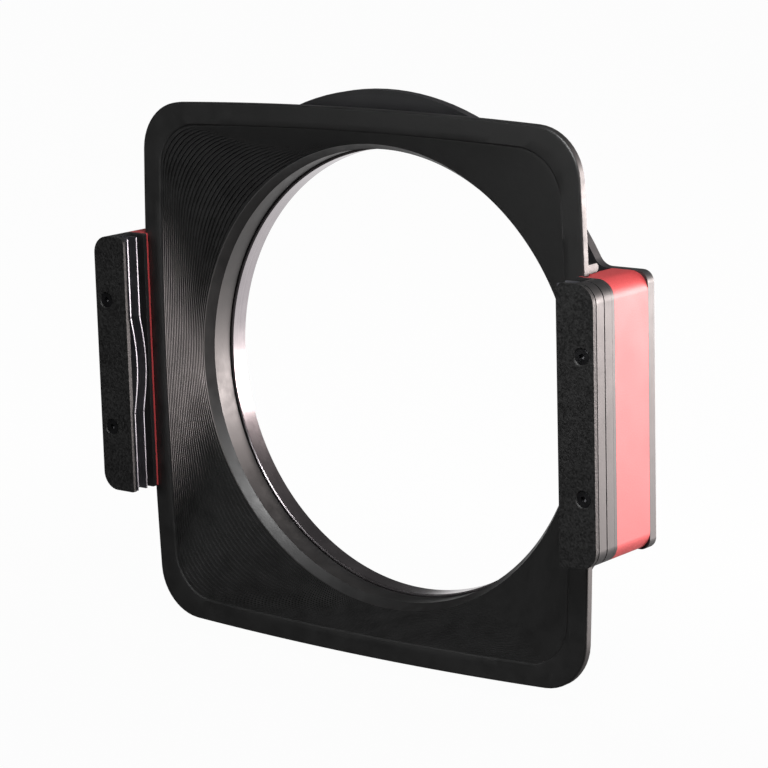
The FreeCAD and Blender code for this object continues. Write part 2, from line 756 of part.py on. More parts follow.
def lens_ring(doc, sizes, layout):
    """The bright ring on the lens, with the flange that the holder turns on."""
    name = "lens_ring"
    body = new_body(doc, name, layout)
    profile = Drawing(body, "XY_Plane", f"{name}_profile")
    cut = sizes["edge_break"]
    profile.outline([
        (layout.ring_bore + cut, layout.ring_front), (layout.flange_radius, layout.ring_front),
        (layout.flange_radius, layout.flange_rear), (layout.ring_outer, layout.flange_rear),
        (layout.ring_outer, layout.ring_rear), (layout.ring_bore, layout.ring_rear),
        (layout.ring_bore, layout.ring_front + cut),
    ])
    revolve(body, profile, f"{name}_turned")


def keeper_ring(doc, sizes, layout):
    """The thin ring behind the collar that keeps the lens ring in."""
    name = "keeper_ring"
    body = new_body(doc, name, layout)
    profile = Drawing(body, "XY_Plane", f"{name}_profile")
    inner = layout.ring_outer + sizes["turn_play"]
    outer = layout.collar - sizes["keeper_inset"]
    profile.outline([
        (inner, layout.collar_rear), (outer, layout.collar_rear),
        (outer, layout.keeper_rear), (inner, layout.keeper_rear),
    ])
    revolve(body, profile, f"{name}_turned")
    turns = small_turns()
    hole_ring(doc, body, f"{name}_holes", sizes, layout.small_circle, turns, layout.keeper_rear)


def small_screw(doc, name, sizes, layout, x, z, face, length):
    """A small pan-head screw driven from behind, with its head on the given station."""
    body = new_body(doc, name, layout, x, z)
    profile = Drawing(body, "XY_Plane", f"{name}_profile")
    head_rear = face + sizes["small_head_tall"]
    profile.outline([
        (ZERO, head_rear), (sizes["small_head"], head_rear), (sizes["small_head"], face),
        (sizes["small_shank"], face), (sizes["small_shank"], face - length), (ZERO, face - length),
    ])
    revolve(body, profile, f"{name}_turned")


def keeper_screws(doc, sizes, layout):
    length = sizes["small_long"] - sizes["edge_break"]
    for index, turn in enumerate(small_turns(), start=1):
        x, z = on_circle_sized(layout.small_circle, turn)
        small_screw(doc, f"keeper_screw_{index}", sizes, layout, x, z, layout.keeper_rear, length)


def hood_screws(doc, sizes, layout):
    for index, turn in enumerate(hood_screw_turns(DRIVING["hood_screw_turn"]), start=1):
        x, z = on_circle_sized(layout.hood_screws, turn)
        name = f"hood_screw_{index}"
        small_screw(doc, name, sizes, layout, x, z, layout.disc_rear, sizes["hood_screw_long"])


def lock_screw(doc, sizes, layout):
    """The knurled thumb screw under the collar that stops the holder from turning."""
    name = "lock_screw"
    body = new_body(doc, name, layout)
    neck = layout.collar + sizes["lock_neck"]
    bottom = neck + sizes["lock_head_tall"]
    head = Drawing(body, "XY_Plane", f"{name}_head_outline", lift=-bottom, y=layout.lock_y)
    head.circle(sizes["lock_head"])
    pad(body, head, sizes["lock_head_tall"], f"{name}_head")
    groove = Drawing(body, "XY_Plane", f"{name}_knurl_outline", lift=-bottom, y=layout.lock_y)
    rim = sizes["lock_head"]
    half = sizes["knurl_deep"] * 0.8
    outside = rim + sizes["knurl_deep"]
    groove.outline([(rim - sizes["knurl_deep"], ZERO), (outside, half * 2), (outside, -(half * 2))])
    cut = pocket(doc, body, groove, f"{name}_knurl", length=sizes["lock_head_tall"], turned=True)
    pattern = body.newObject("PartDesign::PolarPattern", f"{name}_knurls")
    pattern.Originals = [cut]
    pattern.Axis = (groove.sketch, ["N_Axis"])
    pattern.Angle = 360
    pattern.setExpression("Occurrences", sizes["knurls"].text)
    body.Tip = pattern
    shank = Drawing(body, "XY_Plane", f"{name}_shank_outline", lift=-neck, y=layout.lock_y)
    shank.circle(sizes["lock_shank"])
    pad(body, shank, neck - layout.recess, f"{name}_shank")


def guides(doc, sizes, layout):
    for side, sign in SIDES.items():
        front_plate(doc, side, sign, sizes, layout)
        for slot in ("front", "rear"):
            leaf_spring(doc, side, sign, slot, sizes, layout)
            slot_bar(doc, side, sign, slot, sizes, layout)
        slot_shim(doc, side, sign, sizes, layout)
        spacer_block(doc, side, sign, sizes, layout)
        for end, z_sign in ENDS.items():
            guide_screw(doc, side, sign, end, z_sign, sizes, layout)


def sub_parts(doc):
    """The pieces that are written out: every body and every plain solid."""
    kinds = ("PartDesign::Body", "Part::Feature")
    return [item for item in doc.Objects if item.TypeId in kinds]


def check(doc):
    for item in doc.Objects:
        if "Invalid" in item.State or "Error" in item.State:
            raise RuntimeError(f"{item.Name} failed: {item.State}")
    for piece in sub_parts(doc):
        shape = piece.Shape
        if shape.isNull() or not shape.isValid() or not shape.Solids:
            raise RuntimeError(f"{piece.Label} has no sound solid")
        print(piece.Label, len(shape.Solids), round(shape.Volume, 1))


def main():
    doc = FreeCAD.newDocument("square_filter_holder")
    sizes = make_sheet(doc)
    layout = Layout(sizes)
    main_frame(doc, sizes, layout)
    light_hood(doc, sizes, layout)
    guides(doc, sizes, layout)
    lens_ring(doc, sizes, layout)
    keeper_ring(doc, sizes, layout)
    keeper_screws(doc, sizes, layout)
    hood_screws(doc, sizes, layout)
    lock_screw(doc, sizes, layout)
    doc.recompute()
    check(doc)
    os.makedirs("parts", exist_ok=True)
    for piece in sub_parts(doc):
        piece.Shape.exportStep(os.path.join("parts", f"{piece.Label}.step"))


main()
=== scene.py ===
"""Looks of a square filter holder: materials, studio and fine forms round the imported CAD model."""

import logging
import math
from collections.abc import Callable, Iterable, Sequence
from dataclasses import dataclass, field
from enum import Enum

import bmesh
import bpy
from mathutils import Matrix, Vector


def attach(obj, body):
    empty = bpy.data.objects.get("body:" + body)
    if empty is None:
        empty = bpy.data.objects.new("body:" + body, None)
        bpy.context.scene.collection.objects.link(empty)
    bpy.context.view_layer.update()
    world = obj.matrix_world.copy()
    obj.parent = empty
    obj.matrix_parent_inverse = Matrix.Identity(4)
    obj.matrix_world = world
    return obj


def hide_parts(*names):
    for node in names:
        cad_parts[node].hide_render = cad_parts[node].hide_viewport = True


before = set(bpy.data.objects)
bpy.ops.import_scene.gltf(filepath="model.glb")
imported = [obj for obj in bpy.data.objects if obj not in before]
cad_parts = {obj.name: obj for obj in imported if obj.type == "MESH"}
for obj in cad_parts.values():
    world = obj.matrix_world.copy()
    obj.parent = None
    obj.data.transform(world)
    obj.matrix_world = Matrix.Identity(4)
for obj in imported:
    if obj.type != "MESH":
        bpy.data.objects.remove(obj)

LOG = logging.getLogger("square_filter_holder")

MM = 0.001
MERGE = 1e-4  # mm, below which two vertices are one
SHARP_TURN = math.radians(32.0)
FULL_TURN = 2.0 * math.pi


class Side(Enum):
    """Left or right guide, with the sign of X on that side."""

    LEFT = -1
    RIGHT = 1


class Slot(Enum):
    """The front or the rear filter slot."""

    FRONT = "front"
    REAR = "rear"


class Body(Enum):
    """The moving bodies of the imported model."""

    RING = "ring"
    HOLDER = "holder"
    LOCK = "lock"


@dataclass(frozen=True)
class Stations:
    """Places along the optical axis, in mm behind the guides' front faces."""

    plate_rear: float = 1.2
    front_bar_rear: float = 4.65
    rear_bar_rear: float = 8.1
    shim_rear: float = 9.3
    hood_front: float = 10.1
    rim_rear: float = 12.5
    funnel_rear: float = 20.9
    cone_front: float = 21.4
    seat_front: float = 21.8
    land: float = 23.7
    frame_front: float = 23.8
    screw_end: float = 25.5
    disc_rear: float = 26.6
    neck_rear: float = 30.15
    ring_front: float = 30.4
    flange_rear: float = 33.8
    collar_rear: float = 34.0
    keeper_rear: float = 35.2
    ring_rear: float = 36.0


AT = Stations()


# Materials


def linear(colour: str) -> tuple[float, float, float, float]:
    """Turns an sRGB hex colour into the linear values that Blender works with.

    Args:
        colour: Six hex digits after a hash sign.

    Returns:
        Linear red, green and blue, and an alpha of one.
    """
    parts = [int(colour[place : place + 2], 16) / 255.0 for place in (1, 3, 5)]
    curved = [part / 12.92 if part <= 0.04045 else ((part + 0.055) / 1.055) ** 2.4 for part in parts]
    return (*curved, 1.0)


def add_node(
    tree: bpy.types.NodeTree,
    kind: str,
    settings: dict[str | int, object] | None = None,
    links: dict[str | int, bpy.types.NodeSocket] | None = None,
) -> bpy.types.Node:
    """Adds one node with its settings and links.

    Args:
        tree: The node tree that takes the node.
        kind: Blender's identifier of the node.
        settings: Values of the node's inputs, by name or number, and of its properties.
        links: Output sockets to join to the node's inputs, by name or number.

    Returns:
        The new node.
    """
    node = tree.nodes.new(kind)
    for key, value in (settings or {}).items():
        if isinstance(key, int) or key in node.inputs:
            node.inputs[key].default_value = value
        else:
            setattr(node, key, value)
    for key, socket in (links or {}).items():
        tree.links.new(socket, node.inputs[key])
    return node


def remap(
    tree: bpy.types.NodeTree, value: bpy.types.NodeSocket, source: tuple[float, float],
    target: tuple[float, float] = (0.0, 1.0),
) -> bpy.types.NodeSocket:
    """Maps a value from one range to another and keeps it inside the new one.

    Args:
        tree: The node tree.
        value: The value's socket.
        source: Where the value's range starts and ends.
        target: What those two ends become.

    Returns:
        The mapped value's socket.
    """
    ends = {"From Min": source[0], "From Max": source[1], "To Min": target[0], "To Max": target[1]}
    return add_node(tree, "ShaderNodeMapRange", ends, {"Value": value}).outputs["Result"]


def combine(
    tree: bpy.types.NodeTree, operation: str, first: bpy.types.NodeSocket, second: bpy.types.NodeSocket
) -> bpy.types.NodeSocket:
    """Gives the result of one arithmetic operation on two values."""
    return add_node(tree, "ShaderNodeMath", {"operation": operation}, {0: first, 1: second}).outputs[0]


@dataclass(frozen=True)
class Finish:
    """A surface as it was made: two close tones, gloss, and a grain of real size."""

    name: str
    tone: str
    second_tone: str
    roughness: float
    grain_mm: float
    grain_depth_mm: float
    patch_mm: float
    metallic: float = 0.0
    roughness_swing: float = 0.05
    ior: float = 1.5
    grain_tint: float = 0.5

    def grain_vector(self, tree: bpy.types.NodeTree) -> bpy.types.NodeSocket:
        """Gives the coordinates of the grain: even in every direction."""
        return add_node(tree, "ShaderNodeTexCoord").outputs["Object"]

    def build(self) -> bpy.types.Material:
        """Makes the material.

        Returns:
            The material with its node tree.
        """
        material = bpy.data.materials.new(self.name)
        material.use_nodes = True
        tree = material.node_tree
        tree.nodes.clear()
        where = self.grain_vector(tree)
        grain = add_node(
            tree, "ShaderNodeTexNoise",
            {"Scale": 1.0 / (self.grain_mm * MM), "Detail": 2.0, "Roughness": 0.6}, {"Vector": where},
        )
        place = add_node(tree, "ShaderNodeTexCoord")
        patches = add_node(
            tree, "ShaderNodeTexNoise",
            {"Scale": 1.0 / (self.patch_mm * MM), "Detail": 4.0, "Roughness": 0.65},
            {"Vector": place.outputs["Object"]},
        )
        both = add_node(
            tree, "ShaderNodeMix", {"data_type": "FLOAT", 0: self.grain_tint},
            {2: patches.outputs["Fac"], 3: grain.outputs["Fac"]},
        )
        colour = add_node(
            tree, "ShaderNodeMix", {"data_type": "RGBA", 6: linear(self.tone), 7: linear(self.second_tone)},
            {0: remap(tree, both.outputs[0], (0.34, 0.66))},
        )
        matt, shiny = self.roughness + self.roughness_swing, self.roughness - self.roughness_swing
        gloss = remap(tree, patches.outputs["Fac"], (0.3, 0.7), (shiny, matt))
        bump = add_node(
            tree, "ShaderNodeBump", {"Strength": 1.0, "Distance": self.grain_depth_mm * MM},
            {"Height": grain.outputs["Fac"]},
        )
        shader = add_node(
            tree, "ShaderNodeBsdfPrincipled", {"Metallic": self.metallic, "IOR": self.ior},
            {"Base Color": colour.outputs[2], "Roughness": gloss, "Normal": bump.outputs["Normal"]},
        )
        add_node(tree, "ShaderNodeOutputMaterial", None, {"Surface": shader.outputs["BSDF"]})
        return material


@dataclass(frozen=True)
class TurnedFinish(Finish):
    """A surface from the lathe: its grain runs as fine rings round the optical axis."""

    def grain_vector(self, tree: bpy.types.NodeTree) -> bpy.types.NodeSocket:
        """Gives coordinates that change with radius and station but not round the axis."""
        place = add_node(tree, "ShaderNodeTexCoord").outputs["Object"]
        flat = add_node(tree, "ShaderNodeMapping", {"Scale": (1.0, 0.0, 1.0)}, {"Vector": place})
        radius = add_node(tree, "ShaderNodeVectorMath", {"operation": "LENGTH"}, {0: flat.outputs["Vector"]})
        split = add_node(tree, "ShaderNodeSeparateXYZ", None, {0: place})
        axes = {"X": radius.outputs["Value"], "Y": split.outputs["Y"]}
        return add_node(tree, "ShaderNodeCombineXYZ", None, axes).outputs["Vector"]


# Black anodised aluminium, bead blasted before the bath: dark and satin, with a speckle of painted glints.
# The colour turns from near black to grey in small spots of the grain, on top of the grain's bump.
# The beads' pits are about 0.2 mm; they are drawn half a millimetre wide, so that they show.
BLASTED_BLACK = Finish(
    name="bead_blasted_black_anodised_aluminium", tone="#020202", second_tone="#2E2E2E", roughness=0.52,
    grain_mm=0.55, grain_depth_mm=0.11, patch_mm=9.0, ior=1.42, grain_tint=0.85,
)
# Black anodised aluminium bars, finely milled and lightly blasted: their sides shine at a low angle.
MILLED_BLACK = Finish(
    name="fine_milled_black_anodised_aluminium", tone="#0E0E0F", second_tone="#1A1A1B", roughness=0.5,
    grain_mm=0.25, grain_depth_mm=0.014, patch_mm=7.0, ior=1.62, grain_tint=0.6,
)
# Red anodised aluminium, lightly blasted: the dyed oxide over bright metal gives a satin, metallic red.
ANODISED_RED = Finish(
    name="satin_red_anodised_aluminium", tone="#B33538", second_tone="#C64749", metallic=0.3,
    roughness=0.56, roughness_swing=0.04, grain_mm=0.3, grain_depth_mm=0.014, patch_mm=12.0, ior=1.77,
    grain_tint=0.7,
)
# Glass-filled nylon, injection moulded in a spark-eroded mould: matt black with a faint bloom.
# The mould's texture is about 0.08 mm; it is drawn 0.3 mm wide so that it shows.
MOULDED_BLACK = Finish(
    name="moulded_matt_black_nylon", tone="#060606", second_tone="#101010", roughness=0.5,
    roughness_swing=0.07, grain_mm=0.3, grain_depth_mm=0.01, patch_mm=5.0, ior=1.68, grain_tint=0.35,
)
# Spring steel sheet, rolled and thinly blackened: its cut edges and its bowed bridge still shine.
SPRING_STEEL = Finish(
    name="blackened_rolled_spring_steel", tone="#7A7A80", second_tone="#8C8C92", metallic=0.9,
    roughness=0.33, grain_mm=0.2, grain_depth_mm=0.006, patch_mm=5.0, grain_tint=0.4,
)
# Aluminium ring, diamond turned and thinly anodised in smoke black: a dark mirror with fine turning lines.
BRIGHT_RING = TurnedFinish(
    name="diamond_turned_smoke_anodised_aluminium", tone="#A7A1A4", second_tone="#B9B3B6", metallic=1.0,
    roughness=0.22, roughness_swing=0.03, grain_mm=0.16, grain_depth_mm=0.002, patch_mm=14.0,
)
# Black anodised frame, turned and lightly blasted: satin with faint rings.
TURNED_FRAME = TurnedFinish(
    name="turned_black_anodised_aluminium", tone="#121214", second_tone="#1E1E20", roughness=0.5,
    grain_mm=0.28, grain_depth_mm=0.006, patch_mm=8.0, ior=1.66, grain_tint=0.6,
)
# Black anodised keeper ring, turned: a satin face with fine rings.
KEEPER = TurnedFinish(
    name="turned_black_anodised_keeper", tone="#111113", second_tone="#1B1B1D", roughness=0.36,
    grain_mm=0.22, grain_depth_mm=0.005, patch_mm=8.0, ior=1.77, grain_tint=0.6,
)
# Black-oxide alloy steel screws: deep black with an oily shine.
OXIDE_STEEL = Finish(
    name="black_oxide_steel", tone="#38383A", second_tone="#4A4A4C", metallic=0.9, roughness=0.26,
    roughness_swing=0.06, grain_mm=0.22, grain_depth_mm=0.006, patch_mm=2.5,
)
# Knurled black anodised aluminium knob: the rolled teeth are a little rubbed.
KNURLED_BLACK = Finish(
    name="knurled_black_anodised_aluminium", tone="#131315", second_tone="#232326", roughness=0.34,
    roughness_swing=0.06, grain_mm=0.25, grain_depth_mm=0.01, patch_mm=2.0, ior=1.77,
)


# Mesh work


@dataclass
class Piece:
    """One mesh piece, modelled in mm at its stations and set in the part's frame when it is done."""

    name: str
    bm: bmesh.types.BMesh = field(default_factory=bmesh.new)

    def ring(self, radius: float, station: float, x: float = 0.0, z: float = 0.0, segments: int = 32) -> list:
        """Adds a circle of edges in the plane of one station.

        Args:
            radius: Its radius.
            station: Its place along the axis.
            x: Its centre to the right.
            z: Its centre upwards.
            segments: How many edges it has.

        Returns:
            The circle's edges.
        """
        turn = Matrix.Translation((x, station, z)) @ Matrix.Rotation(math.pi / 2.0, 4, "X")
        made = bmesh.ops.create_circle(self.bm, cap_ends=False, segments=segments, radius=radius, matrix=turn)
        return edges_of(made["verts"])

    def outline(self, corners: Sequence[tuple[float, float, float]], station: float) -> list:
        """Adds a closed outline whose corners are rounded.

        Args:
            corners: X, Z and the radius of each corner in turn.
            station: Its place along the axis.

        Returns:
            The outline's edges.
        """
        face = self.bm.faces.new([self.bm.verts.new((x, station, z)) for x, z, _ in corners])
        for vert, (_, _, radius) in zip(list(face.verts), corners):
            if radius > 0.0:
                made = bmesh.ops.bevel(
                    self.bm, geom=[vert], offset=radius, offset_type="OFFSET", affect="VERTICES", profile=0.5,
                    segments=max(3, round(4.0 * math.sqrt(radius))), material=-1, clamp_overlap=True,
                )
                face = made["verts"][0].link_faces[0]
        edges = list(face.edges)
        bmesh.ops.delete(self.bm, geom=[face], context="FACES_ONLY")
        return edges

    def cap(self, edges: Iterable) -> list:
        """Fills the flat region between closed outlines.

        Args:
            edges: The edges of the outer outline and of any holes.

        Returns:
            The new faces.
        """
        made = bmesh.ops.triangle_fill(self.bm, use_beauty=True, use_dissolve=False, edges=list(edges))
        return [item for item in made["geom"] if isinstance(item, bmesh.types.BMFace)]

    def onward(self, edges: Iterable, move: Callable[[Vector], Vector]) -> list:
        """Extrudes edges and moves each new vertex.

        Args:
            edges: The edges to extrude.
            move: Gives the new place of a vertex from its old one.

        Returns:
            The new edges.
        """
        made = bmesh.ops.extrude_edge_only(self.bm, edges=list(edges))["geom"]
        for vert in [item for item in made if isinstance(item, bmesh.types.BMVert)]:
            vert.co = move(vert.co)
        return [item for item in made if isinstance(item, bmesh.types.BMEdge)]

    def prism(self, edges: list, front: float, rear: float) -> None:
        """Makes a closed prism from the outlines at its front: walls, front and rear."""
        self.cap(edges)
        self.cap(self.onward(edges, lambda place: Vector((place.x, place.y + rear - front, place.z))))

    def lathe(self, profile: Sequence[tuple[float, float]], segments: int, closed: bool = True) -> None:
        """Turns a profile once round the optical axis.

        Args:
            profile: Radius and station of each corner in turn.
            segments: How many steps the turn has.
            closed: Whether the last corner is joined to the first.
        """
        verts = [self.bm.verts.new((radius, station, 0.0)) for radius, station in profile]
        pairs = zip(verts, verts[1:] + verts[:1] if closed else verts[1:])
        edges = [self.bm.edges.new(pair) for pair in pairs]
        bmesh.ops.spin(
            self.bm, geom=verts + edges, cent=(0.0, 0.0, 0.0), axis=(0.0, 1.0, 0.0), angle=FULL_TURN,
            steps=segments, use_merge=True, use_duplicate=False,
        )

    def soften(self, wanted: Callable, size: float, segments: int = 2) -> None:
        """Bevels the edges that the test picks.

        Args:
            wanted: Says of an edge whether it is picked.
            size: The bevel's offset.
            segments: How many strips it has.
        """
        picked = [edge for edge in self.bm.edges if wanted(edge)]
        bmesh.ops.bevel(
            self.bm, geom=picked, offset=size, offset_type="OFFSET", affect="EDGES", segments=segments,
            profile=0.5, material=-1, clamp_overlap=True,
        )

    def shift(self, matrix: Matrix, verts: Iterable | None = None) -> None:
        """Moves or turns vertices, all of them if none are named."""
        moved = self.bm.verts if verts is None else verts
        bmesh.ops.transform(self.bm, matrix=matrix, verts=list(moved))

    def done(self, material: bpy.types.Material, body: Body, slot: str, nodes: Sequence[str]) -> None:
        """Sets the piece in the part's frame, shades and dresses it, and lets it ride on its body.

        Args:
            material: The piece's material.
            body: The body that carries it.
            slot: The record's material slot; not used.
            nodes: The CAD nodes that it stands for.
        """
        bm = self.bm
        bmesh.ops.remove_doubles(bm, verts=bm.verts, dist=MERGE)
        bmesh.ops.recalc_face_normals(bm, faces=bm.faces)
        self.shift(Matrix.Scale(MM, 4) @ Matrix.Translation((0.0, -AT.ring_rear, 0.0)))
        open_edges = sum(1 for edge in bm.edges if not edge.is_manifold)
        for edge in bm.edges:
            edge.smooth = edge.is_manifold and edge.calc_face_angle() < SHARP_TURN
        for face in bm.faces:
            face.smooth = True
        mesh = bpy.data.meshes.new(self.name)
        bm.to_mesh(mesh)
        bm.free()
        mesh.materials.append(material)
        made = bpy.data.objects.new(self.name, mesh)
        bpy.context.scene.collection.objects.link(made)
        weighted = made.modifiers.new("flat_faces_lead", "WEIGHTED_NORMAL")
        weighted.keep_sharp = True
        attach(made, body.value)
        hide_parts(*nodes)
        triangles = sum(len(face.vertices) - 2 for face in mesh.polygons)
        LOG.info("%s: %d triangles, %d open edges, %s", self.name, triangles, open_edges, material.name)


def edges_of(verts: Iterable) -> list:
    """Lists the edges that join the given vertices."""
    return list({edge for vert in verts for edge in vert.link_edges})


def at_station(station: float) -> Callable:
    """Makes a test for square edges in the plane of one station.

    Args:
        station: The plane's station.

    Returns:
        The test.
    """

    def wanted(edge: bmesh.types.BMEdge) -> bool:
        """Says whether the edge lies in the plane and turns a square corner there."""
        flat = all(abs(vert.co.y - station) < MERGE * 10.0 for vert in edge.verts)
        return flat and edge.is_manifold and edge.calc_face_angle() > math.radians(60.0)

    return wanted


# Light hood


@dataclass
class LightHood:
    """The moulded hood: bowed rim, stepped funnel, plain cone, round neck, seat, bosses and tabs."""

    hood_half: float = 72.6
    hood_corner: float = 95.2
    mouth_half: float = 66.6
    mouth_corner: float = 87.3
    corner_share: float = 0.755
    funnel_end: float = 62.1
    neck: float = 60.5
    neck_outer: float = 62.1
    seat: float = 69.6
    wall: float = 2.0
    edge_round: float = 0.55
    seat_break: float = 0.2
    neck_break: float = 0.15
    bore_break: float = 0.08
    land_break: float = 0.1
    lip_wide: float = 0.5
    lip_deep: float = 0.3
    steps: int = 24
    points: int = 384
    boss_circle: float = 72.9
    boss_radius: float = 2.8
    boss_front: float = 18.2
    rib_start: float = 68.5
    boss_turns: tuple[float, ...] = (60.0, 120.0, 240.0, 300.0)
    tab_x: float = 69.8
    tab_thick: float = 2.0
    tab_low: float = 35.35
    tab_tall: float = 2.2
    tab_rear: float = 16.9

    def reach(self, half: float, corner: float, turn: float) -> float:
        """Gives the outline's distance from the axis in one direction.

        Args:
            half: Distance from the axis to the middle of a side.
            corner: Distance from the axis to the middle of a corner.
            turn: The direction, as an angle from the X axis.

        Returns:
            The distance in mm.
        """
        if corner - half < MERGE:
            return half
        flat_round = (half - corner / math.sqrt(2.0)) / (1.0 - 1.0 / math.sqrt(2.0))
        small = self.corner_share * flat_round
        centre = (corner - small) / math.sqrt(2.0)
        gap = centre - half
        large = (small**2 - centre**2 - gap**2) / (2.0 * (gap + small))
        lean = math.atan2(centre, gap + large)
        turn = math.fmod(turn, math.pi / 2.0)
        turn = min(turn, math.pi / 2.0 - turn)
        edge_turn = math.atan2(centre + small * math.sin(lean), centre + small * math.cos(lean))
        if turn < edge_turn:
            middle, radius = Vector((half - large, 0.0)), large
        else:
            middle, radius = Vector((centre, centre)), small
        along = middle.dot(Vector((math.cos(turn), math.sin(turn))))
        return along + math.sqrt(along**2 - middle.length_squared + radius**2)

    def mover(self, half: float, corner: float, station: float) -> Callable[[Vector], Vector]:
        """Makes the move that puts a vertex on an outline without turning it round the axis."""

        def move(place: Vector) -> Vector:
            """Puts the vertex on the outline in its own direction."""
            turn = math.atan2(place.z, place.x) % FULL_TURN
            far = self.reach(half, corner, turn)
            return Vector((far * math.cos(turn), station, far * math.sin(turn)))

        return move

    def funnel(self, share: float, grow: float = 0.0) -> tuple[float, float]:
        """Gives half side and corner of the funnel at one share of its depth."""
        half = self.mouth_half + (self.funnel_end - self.mouth_half) * share
        corner = self.mouth_corner + (self.funnel_end - self.mouth_corner) * share
        return half + grow, corner + grow

    def rim_sections(self) -> list[tuple[float, float, float]]:
        """Lists the sections from the rim's rear edge over its rounded edges to the funnel's mouth."""
        found = []
        for k in range(4):
            turn = math.pi / 2.0 * k / 3.0
            inset = self.edge_round * 0.6 * (1.0 - math.sin(turn))
            back = self.edge_round * 0.6 * (1.0 - math.cos(turn))
            found.append((self.hood_half - inset, self.hood_corner - inset, AT.rim_rear - back))
        for k in range(6):
            turn = math.pi / 2.0 * k / 5.0
            inset = self.edge_round * (1.0 - math.cos(turn))
            back = self.edge_round * (1.0 - math.sin(turn))
            found.append((self.hood_half - inset, self.hood_corner - inset, AT.hood_front + back))
        for inset in (2.0, 4.0):
            found.append((self.hood_half - inset, self.hood_corner - inset, AT.hood_front))
        found.append((self.mouth_half + self.lip_wide, self.mouth_corner + self.lip_wide, AT.hood_front))
        found.append((self.mouth_half, self.mouth_corner, AT.hood_front + self.lip_deep))
        return found

    def inner_sections(self) -> list[tuple[float, float, float]]:
        """Lists the sections of the steps, the plain cone behind them and the neck's bore."""
        deep = AT.funnel_rear - AT.hood_front
        found = []
        for k in range(self.steps):
            rear = AT.hood_front + deep * (k + 1) / self.steps
            if k:
                found.append((*self.funnel(k / self.steps), rear))
            else:
                found.append((self.mouth_half, self.mouth_corner, rear + MERGE * 20.0))
            found.append((*self.funnel((k + 1) / self.steps), rear))
        for radius, station in (
            (self.funnel_end - 0.05, AT.cone_front), (self.neck + self.land_break, AT.land),
            (self.neck, AT.land + self.land_break), (self.neck, AT.neck_rear - self.bore_break),
            (self.neck + self.bore_break, AT.neck_rear),
        ):
            found.append((radius, radius, station))
        return found

    def outer_sections(self) -> list[tuple[float, float, float]]:
        """Lists the sections of the neck's outside, the seat and the funnel's outer wall."""
        found = [
            (radius, radius, station)
            for radius, station in (
                (self.neck_outer - self.neck_break, AT.neck_rear),
                (self.neck_outer, AT.neck_rear - self.neck_break),
                (self.neck_outer, AT.frame_front), (self.seat - self.seat_break, AT.frame_front),
                (self.seat, AT.frame_front - self.seat_break), (self.seat, AT.seat_front + self.seat_break),
                (self.seat - self.seat_break, AT.seat_front),
            )
        ]
        deep = AT.funnel_rear - AT.hood_front
        for k in range(15):
            station = AT.seat_front + (AT.rim_rear - AT.seat_front) * k / 14.0
            share = (station - self.wall - AT.hood_front) / deep
            found.append((*self.funnel(share, self.wall), station))
        return found

    def shell(self, piece: Piece) -> None:
        """Models the hood's closed shell as one chain of extruded outlines."""
        sections = self.rim_sections() + self.inner_sections() + self.outer_sections()
        edges = piece.ring(1.0, 0.0, segments=self.points)
        first = self.mover(*sections[0])
        for vert in {vert for edge in edges for vert in edge.verts}:
            vert.co = first(vert.co)
        for section in sections[1:] + sections[:1]:
            edges = piece.onward(edges, self.mover(*section))

    def bosses(self, piece: Piece) -> None:
        """Models the four screw bosses behind the funnel, each on its rib."""
        for turn in self.boss_turns:
            angle = math.radians(turn)
            x, z = polar(self.boss_circle, turn)
            round_boss = piece.ring(self.boss_radius, self.boss_front, x, z)
            piece.prism(round_boss, self.boss_front, AT.frame_front)
            rib = [
                (self.rib_start, -self.boss_radius, 0.0), (self.boss_circle, -self.boss_radius, 0.0),
                (self.boss_circle, self.boss_radius, 0.0), (self.rib_start, self.boss_radius, 0.0),
            ]
            kept = set(piece.bm.verts)
            piece.prism(piece.outline(rib, self.boss_front), self.boss_front, AT.frame_front)
            piece.shift(Matrix.Rotation(-angle, 4, "Y"), set(piece.bm.verts) - kept)

    def tabs(self, piece: Piece) -> None:
        """Models the four round-ended tabs that reach back over the ends of the spacer blocks."""
        front = AT.rim_rear - 0.5
        for side in Side:
            for sign in (-1.0, 1.0):
                low, high = sorted((self.tab_low * sign, (self.tab_low + self.tab_tall) * sign))
                round_end = self.tab_tall / 2.0 * 0.98
                corners = [
                    (front, low, 0.0), (self.tab_rear, low, round_end),
                    (self.tab_rear, high, round_end), (front, high, 0.0),
                ]
                kept = set(piece.bm.verts)
                piece.prism(piece.outline(corners, 0.0), 0.0, self.tab_thick)
                near = self.tab_x if side is Side.RIGHT else -self.tab_x - self.tab_thick
                swap = Matrix(((0, 1, 0, near), (1, 0, 0, 0), (0, 0, 1, 0), (0, 0, 0, 1)))
                piece.shift(swap, set(piece.bm.verts) - kept)

    def build(self) -> None:
        """Builds and dresses the hood."""
        piece = Piece("light_hood_shell")
        self.shell(piece)
        self.bosses(piece)
        self.tabs(piece)
        piece.done(MOULDED_BLACK.build(), Body.HOLDER, "black_moulding", ["light_hood"])


# Guides


